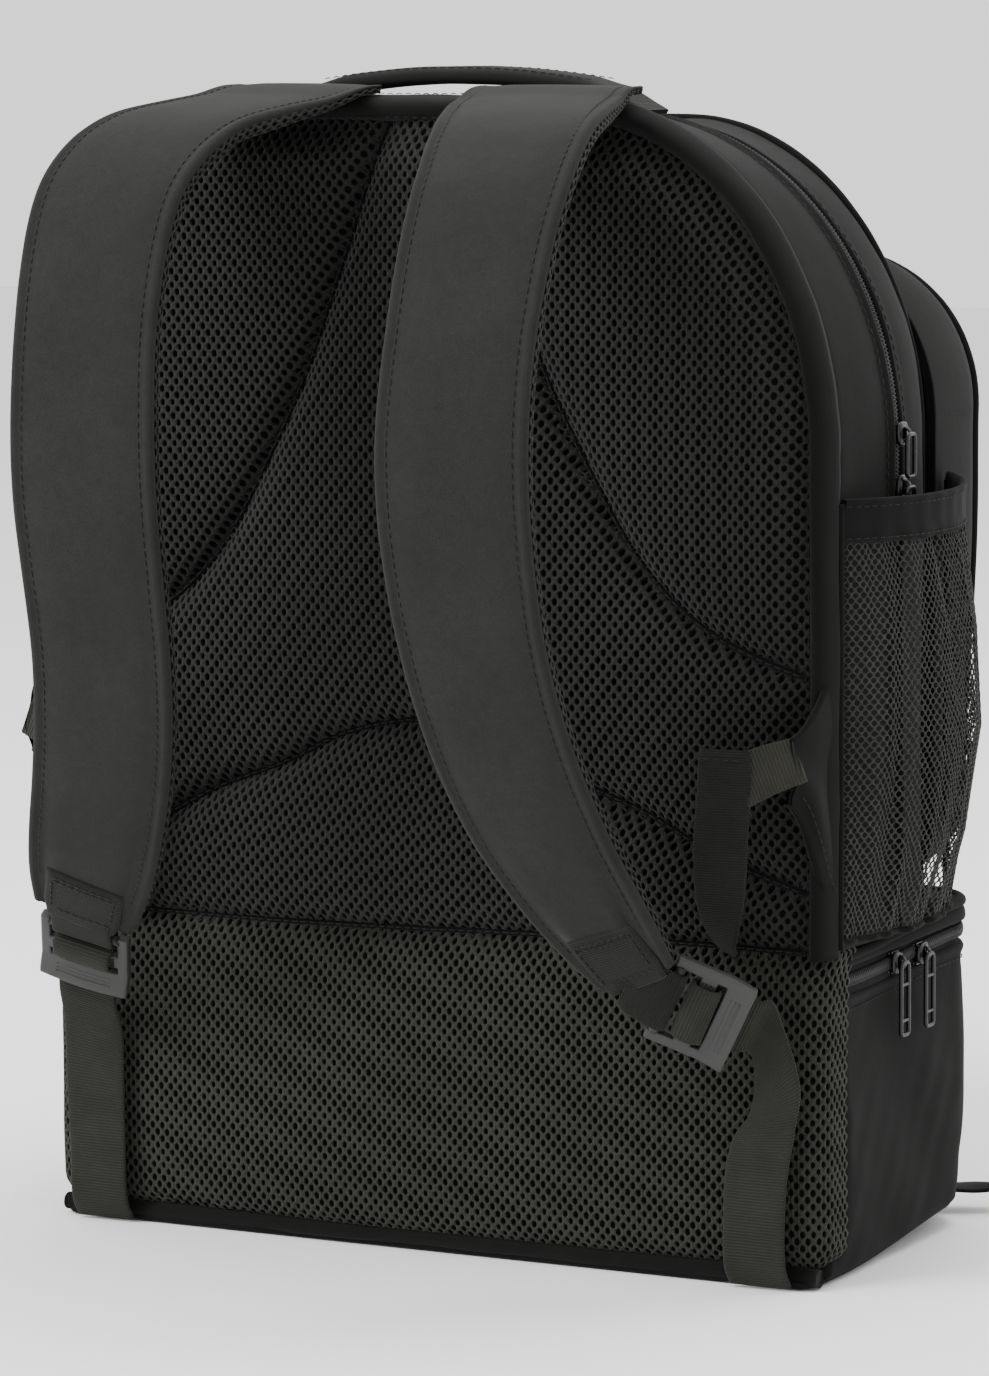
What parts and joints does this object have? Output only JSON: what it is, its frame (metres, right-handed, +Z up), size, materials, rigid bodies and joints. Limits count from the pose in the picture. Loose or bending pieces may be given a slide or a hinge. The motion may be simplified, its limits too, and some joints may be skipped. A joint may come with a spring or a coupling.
{
  "type": "racket backpack",
  "caption": "Box-shaped racket backpack with a quilted mesh back panel, bowed padded shoulder straps, mesh side pockets, grab handle and a zipped shoe compartment below.",
  "frame": {"origin": "on the ground under the middle of the bag, in the plane of the back panel", "axes": "+Z up, +X to the right seen from the wearer's side, back panel faces -Y, front pocket faces +Y"},
  "size_m": [0.3806, 0.3182, 0.4436],
  "materials": {
    "air_mesh": "matte",
    "shell_fabric": "matte",
    "strap_fabric": "matte",
    "net": "matte",
    "binding": "matte",
    "webbing": "matte",
    "zip_tape": "matte",
    "zip_coil": "satin",
    "lock_plastic": "satin",
    "zip_metal": "gloss",
    "stiffener": "satin",
    "base_fabric": "coated"
  },
  "bodies": {
    "bag": {"frame_sheet": "stiffener", "back_piping": "binding", "back_pad_centre": "air_mesh", "back_pad_right": "air_mesh", "back_pad_left": "air_mesh", "lumbar_pad": "air_mesh", "lower_back_pad": "air_mesh", "bottom_binding": "binding", "main_rear_shell": "shell_fabric", "main_front_shell": "shell_fabric", "main_zip_tape": "zip_tape", "main_zip_coil": "zip_coil", "front_pocket_shell": "shell_fabric", "front_pocket_zip_tape": "zip_tape", "front_pocket_zip_coil": "zip_coil", "shoe_shell": "shell_fabric", "shoe_ceiling": "shell_fabric", "shoe_zip_tape": "zip_tape", "shoe_zip_coil": "zip_coil", "shoe_piping": "binding", "base_panel": "base_fabric", "base_tab": "base_fabric", "side_net_right": "net", "side_net_left": "net", "pocket_hem_right": "binding", "pocket_hem_left": "binding", "side_wing_right": "shell_fabric", "side_wing_left": "shell_fabric", "side_loop_right": "webbing", "side_loop_left": "webbing", "strap_yoke": "shell_fabric", "handle_ends": "shell_fabric", "adjuster_webbing_right": "webbing", "adjuster_webbing_left": "webbing"},
    "handle": {"grab_handle": "shell_fabric"},
    "strap_right": {"strap_cover_right": "strap_fabric", "strap_lining_right": "air_mesh", "strap_end_patch_right": "strap_fabric", "lock_webbing_right": "webbing"},
    "lock_right": {"ladder_lock_right": "lock_plastic"},
    "strap_left": {"strap_cover_left": "strap_fabric", "strap_lining_left": "air_mesh", "strap_end_patch_left": "strap_fabric", "lock_webbing_left": "webbing"},
    "lock_left": {"ladder_lock_left": "lock_plastic"},
    "main_zip_slider_upper_body": {"main_zip_slider_upper": "zip_metal"},
    "main_zip_pull_upper_body": {"main_zip_pull_upper": "zip_metal"},
    "main_zip_slider_lower_body": {"main_zip_slider_lower": "zip_metal"},
    "main_zip_pull_lower_body": {"main_zip_pull_lower": "zip_metal"},
    "shoe_zip_slider_rear_body": {"shoe_zip_slider_rear": "zip_metal"},
    "shoe_zip_pull_rear_body": {"shoe_zip_pull_rear": "zip_metal"},
    "shoe_zip_slider_front_body": {"shoe_zip_slider_front": "zip_metal"},
    "shoe_zip_pull_front_body": {"shoe_zip_pull_front": "zip_metal"},
    "front_pocket_slider_body": {"front_pocket_slider": "zip_metal"},
    "front_pocket_pull_body": {"front_pocket_pull": "zip_metal"}
  },
  "joints": [
    {"name": "handle_tilt", "type": "hinge", "parent": "bag", "child": "handle", "pos_m": [0, 0.033, 0.4335], "axis": [1, 0, 0], "range_deg": [-10, 10], "stiffness_Nm_per_rad": 0.03},
    {"name": "strap_swing_right", "type": "hinge", "parent": "bag", "child": "strap_right", "pos_m": [0, 0.004, 0.4345], "axis": [-1, 0, 0], "range_deg": [0, 10]},
    {"name": "lock_tilt_right", "type": "hinge", "parent": "strap_right", "child": "lock_right", "pos_m": [0.1206, -0.04827, 0.11152], "axis": [-0.4808, 0.138, -0.8659], "range_deg": [0, 45]},
    {"name": "strap_swing_left", "type": "hinge", "parent": "bag", "child": "strap_left", "pos_m": [0, 0.004, 0.4345], "axis": [-1, 0, 0], "range_deg": [0, 10]},
    {"name": "lock_tilt_left", "type": "hinge", "parent": "strap_left", "child": "lock_left", "pos_m": [-0.12466, -0.04715, 0.1189], "axis": [-0.943, -0.1979, 0.2677], "range_deg": [0, 45]},
    {"name": "main_zip_upper_run", "type": "hinge", "parent": "bag", "child": "main_zip_slider_upper_body", "pos_m": [0.02784, 0.053, 0.304], "axis": [0, -1, 0], "range_deg": [0, 34]},
    {"name": "main_zip_lower_run", "type": "slide", "parent": "bag", "child": "main_zip_slider_lower_body", "axis": [0, 0, -1], "range_m": [0, 0.006]},
    {"name": "shoe_zip_rear_run", "type": "slide", "parent": "bag", "child": "shoe_zip_slider_rear_body", "axis": [0, -1, 0], "range_m": [0, 0.038]},
    {"name": "shoe_zip_front_run", "type": "slide", "parent": "bag", "child": "shoe_zip_slider_front_body", "axis": [0, 1, 0], "range_m": [0, 0.03]},
    {"name": "front_pocket_run", "type": "slide", "parent": "bag", "child": "front_pocket_slider_body", "axis": [1, 0, 0], "range_m": [0, 0.19]},
    {"name": "main_zip_pull_upper_swing", "type": "hinge", "parent": "main_zip_slider_upper_body", "child": "main_zip_pull_upper_body", "pos_m": [0.1709, 0.053, 0.309], "axis": [0, -1, 0], "range_deg": [0, 120]},
    {"name": "main_zip_pull_lower_swing", "type": "hinge", "parent": "main_zip_slider_lower_body", "child": "main_zip_pull_lower_body", "pos_m": [0.1709, 0.053, 0.2895], "axis": [0, -1, 0], "range_deg": [0, 24]},
    {"name": "shoe_zip_pull_rear_swing", "type": "hinge", "parent": "shoe_zip_slider_rear_body", "child": "shoe_zip_pull_rear_body", "pos_m": [0.1674, 0.057, 0.112], "axis": [0, -1, 0], "range_deg": [0, 100]},
    {"name": "shoe_zip_pull_front_swing", "type": "hinge", "parent": "shoe_zip_slider_front_body", "child": "shoe_zip_pull_front_body", "pos_m": [0.1674, 0.08, 0.112], "axis": [0, -1, 0], "range_deg": [0, 100]},
    {"name": "front_pocket_pull_swing", "type": "hinge", "parent": "front_pocket_slider_body", "child": "front_pocket_pull_body", "pos_m": [-0.095, 0.1874, 0.318], "axis": [1, 0, 0], "range_deg": [0, 120]}
  ]
}
